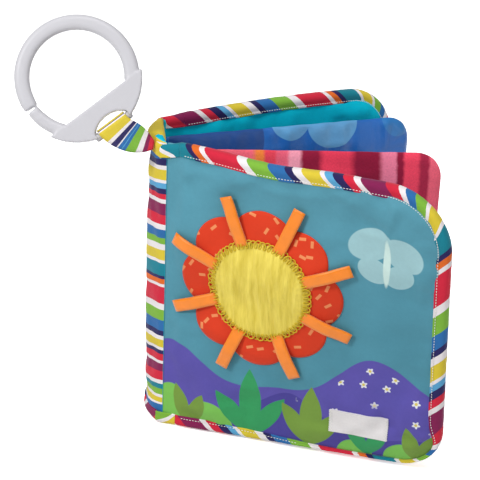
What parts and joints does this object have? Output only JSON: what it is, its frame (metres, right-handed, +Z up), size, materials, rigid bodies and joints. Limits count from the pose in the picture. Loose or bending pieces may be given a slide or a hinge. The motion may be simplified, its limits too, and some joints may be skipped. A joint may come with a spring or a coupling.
{
  "type": "soft baby book",
  "caption": "Padded cloth book that stands fanned open, with taped covers, two soft leaves, a flower with ribbon tabs and a split hanging ring on a ribbon strap.",
  "frame": {"origin": "middle of the spine's lower end, on the surface that the book stands on", "axes": "+X from the spine to the fore-edge of the closed book, +Y away from the front cover, +Z up along the spine"},
  "size_m": [0.2059, 0.1638, 0.203],
  "materials": {
    "striped_cloth": "printed cotton with crossways stripes in red, maroon, white, yellow, navy, blue, green, orange and teal",
    "batting": "polyester batting",
    "teal_cloth": "plain woven polyester",
    "striped_tape": "bias tape with slanted stripes in many colours and a stitched edge",
    "striped_ribbon": "folded ribbon with crossways stripes",
    "printed_cloth": "printed polyester in sky blue with plain fields of colour",
    "red_felt": "felt-like cloth with small pale dashes",
    "yellow_gathered_cloth": "gathered crinkled cloth with a zigzag-stitched edge",
    "orange_ribbon": "satin ribbon",
    "woven_label": "bare woven label with zigzag-stitched ends",
    "red_velour": "velour with upright stripes in reds and pinks",
    "pink_velour": "plain velour",
    "blue_satin": "satin with large paler dots",
    "sky_satin": "plain satin",
    "ring_plastic": "smooth white plastic"
  },
  "bodies": {
    "spine": {"spine_cloth": "striped_cloth", "spine_batting": "batting", "spine_lining": "teal_cloth", "spine_tape_top": "striped_tape", "spine_tape_bottom": "striped_tape", "strap": "striped_ribbon"},
    "front_cover": {"front_cloth": "printed_cloth", "front_batting": "batting", "front_lining": "teal_cloth", "front_binding": "striped_tape", "petal_disc": "red_felt", "flower_centre": "yellow_gathered_cloth", "tab_1": "orange_ribbon", "tab_2": "orange_ribbon", "tab_3": "orange_ribbon", "tab_4": "orange_ribbon", "tab_5": "orange_ribbon", "tab_6": "orange_ribbon", "tab_7": "orange_ribbon", "tab_8": "orange_ribbon", "label": "woven_label"},
    "back_cover": {"back_cloth": "printed_cloth", "back_batting": "batting", "back_lining": "teal_cloth", "back_binding": "striped_tape"},
    "red_leaf": {"red_front": "red_velour", "red_batting": "batting", "red_back": "pink_velour"},
    "blue_leaf": {"blue_front": "blue_satin", "blue_batting": "batting", "blue_back": "sky_satin"},
    "ring": {"ring": "ring_plastic"}
  },
  "joints": [
    {"name": "front_cover_hinge", "type": "hinge", "parent": "spine", "child": "front_cover", "pos_m": [0.0051, -0.01785, 0], "axis": [0, 0, 1], "range_deg": [-64, 26]},
    {"name": "back_cover_hinge", "type": "hinge", "parent": "spine", "child": "back_cover", "pos_m": [0.0051, 0.01785, 0], "axis": [0, 0, 1], "range_deg": [-26, 64]},
    {"name": "red_leaf_hinge", "type": "hinge", "parent": "spine", "child": "red_leaf", "pos_m": [0.0051, -0.00595, 0], "axis": [0, 0, 1], "range_deg": [-5.5, 2.25]},
    {"name": "blue_leaf_hinge", "type": "hinge", "parent": "spine", "child": "blue_leaf", "pos_m": [0.0051, 0.00595, 0], "axis": [0, 0, 1], "range_deg": [-16.5, 40.5]},
    {"name": "ring_swing", "type": "hinge", "parent": "spine", "child": "ring", "pos_m": [-0.02073, -0.01172, 0.1547], "axis": [0.7975, 0.1532, 0.5835], "range_deg": [-75, 75]}
  ],
  "couplings": [
    {"joint": "red_leaf_hinge", "follows": "front_cover_hinge", "ratio": 0.084615},
    {"joint": "blue_leaf_hinge", "follows": "back_cover_hinge", "ratio": 0.63077}
  ]
}
